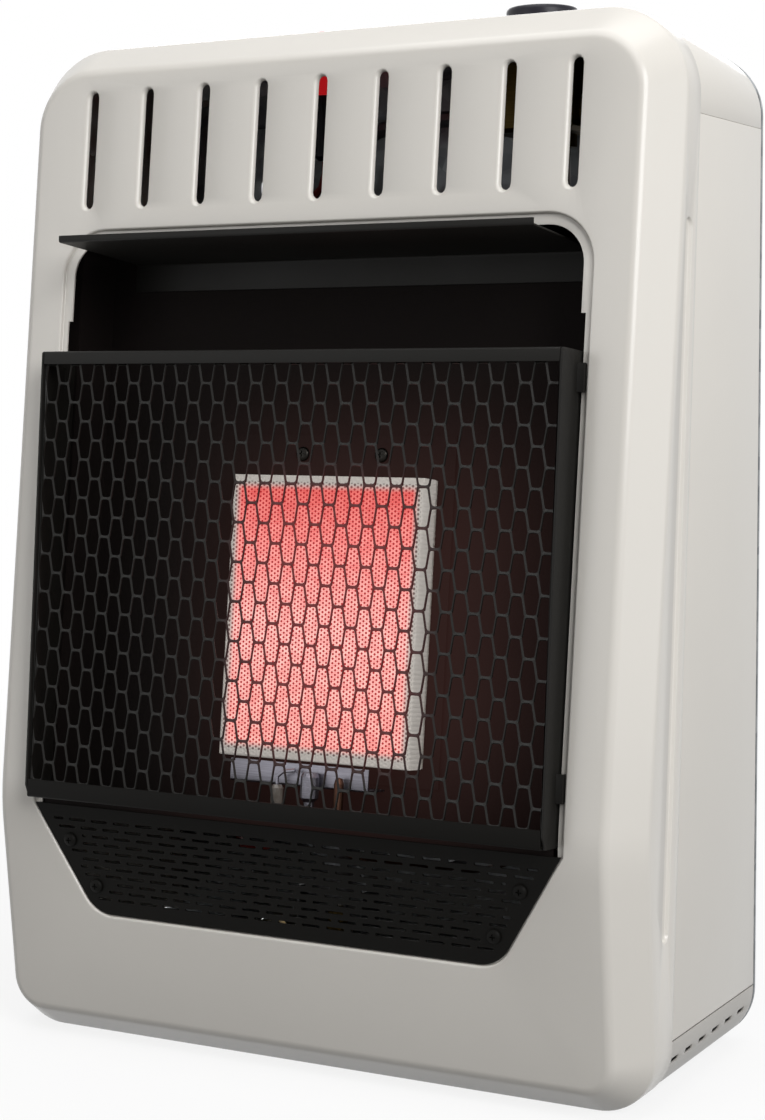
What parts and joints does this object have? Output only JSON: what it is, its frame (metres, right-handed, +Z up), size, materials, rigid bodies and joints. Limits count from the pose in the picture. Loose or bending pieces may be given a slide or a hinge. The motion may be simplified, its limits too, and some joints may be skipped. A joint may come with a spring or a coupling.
{
  "type": "ventless propane heater",
  "caption": "Upright wall gas heater: bowed cream cover with vent slots, hood, lift-off mesh guard over a glowing ceramic plaque, perforated lower grille and a control knob on top.",
  "frame": {"origin": "middle of the base, on the floor plane", "axes": "+Z up, the front faces -Y, +X is the right side seen from the front"},
  "size_m": [0.356, 0.1788, 0.51],
  "materials": {
    "cream_enamel": "semi-gloss enamel",
    "black_enamel": "satin black",
    "firebox_black": "heat-resistant matt black",
    "galvanised_steel": "galvanised",
    "stainless_steel": "bright",
    "aluminium": "drawn",
    "brass": "turned",
    "glowing_ceramic": "matt, red-hot",
    "white_fibre": "fibre board",
    "white_porcelain": "glazed",
    "black_plastic": "moulded",
    "red_plastic": "moulded",
    "red_silicone": "insulated lead",
    "copper": "drawn copper",
    "zinc_screw": "zinc plated"
  },
  "bodies": {
    "cabinet": {"base_pan": "cream_enamel", "burner_box": "galvanised_steel", "ceramic_plaque": "glowing_ceramic", "control_bracket": "galvanised_steel", "electrode_insulator": "white_porcelain", "electrode_wire": "stainless_steel", "firebox_bracket_left": "galvanised_steel", "firebox_bracket_right": "galvanised_steel", "firebox_sill": "firebox_black", "firebox_tray": "firebox_black", "frame_screw_1": "zinc_screw", "frame_screw_2": "zinc_screw", "front_cover": "cream_enamel", "gas_valve_body": "brass", "grille_screw_1": "zinc_screw", "grille_screw_2": "zinc_screw", "grille_screw_3": "zinc_screw", "grille_screw_4": "zinc_screw", "hood": "black_enamel", "igniter_body": "black_plastic", "igniter_lead": "red_silicone", "igniter_nut": "red_plastic", "injector": "brass", "injector_bracket": "galvanised_steel", "inlet_fitting": "brass", "left_side_panel": "cream_enamel", "lower_grille": "black_enamel", "manifold_tube": "aluminium", "pilot_bracket": "stainless_steel", "pilot_burner": "stainless_steel", "pilot_tube": "aluminium", "plaque_frame": "firebox_black", "plaque_gasket": "white_fibre", "rear_panel": "galvanised_steel", "rear_screw_1": "zinc_screw", "rear_screw_2": "zinc_screw", "rear_screw_3": "zinc_screw", "rear_screw_4": "zinc_screw", "rear_screw_5": "zinc_screw", "rear_screw_6": "zinc_screw", "rear_screw_7": "zinc_screw", "regulator_body": "aluminium", "regulator_cap": "aluminium", "regulator_stand": "galvanised_steel", "right_side_panel": "cream_enamel", "supply_tube": "aluminium", "thermocouple": "copper", "thermocouple_lead": "copper", "top_panel": "cream_enamel", "venturi_tube": "aluminium"},
    "guard": {"guard_mesh": "black_enamel", "guard_top_rail": "black_enamel", "guard_bottom_rail": "black_enamel", "guard_left_plate": "black_enamel", "guard_right_plate": "black_enamel"},
    "plug": {"valve_plug": "brass"},
    "knob": {"valve_stem": "brass", "control_knob": "black_plastic"},
    "button": {"igniter_button": "red_plastic"}
  },
  "joints": [
    {"name": "knob_turn", "type": "hinge", "parent": "cabinet", "child": "plug", "pos_m": [0.08, 0.0423, 0.48], "axis": [0, 0, 1], "range_deg": [0, 180]},
    {"name": "knob_push", "type": "slide", "parent": "plug", "child": "knob", "axis": [0, 0, -1], "range_m": [0, 0.0025], "stiffness_N_per_m": 800, "springref_m": -0.002},
    {"name": "igniter_push", "type": "slide", "parent": "cabinet", "child": "button", "axis": [0, 0, -1], "range_m": [0, 0.0035], "stiffness_N_per_m": 1200, "springref_m": -0.002},
    {"name": "guard_lift", "type": "slide", "parent": "cabinet", "child": "guard", "axis": [0, 0.0955, 0.9954], "range_m": [0, 0.012]}
  ]
}
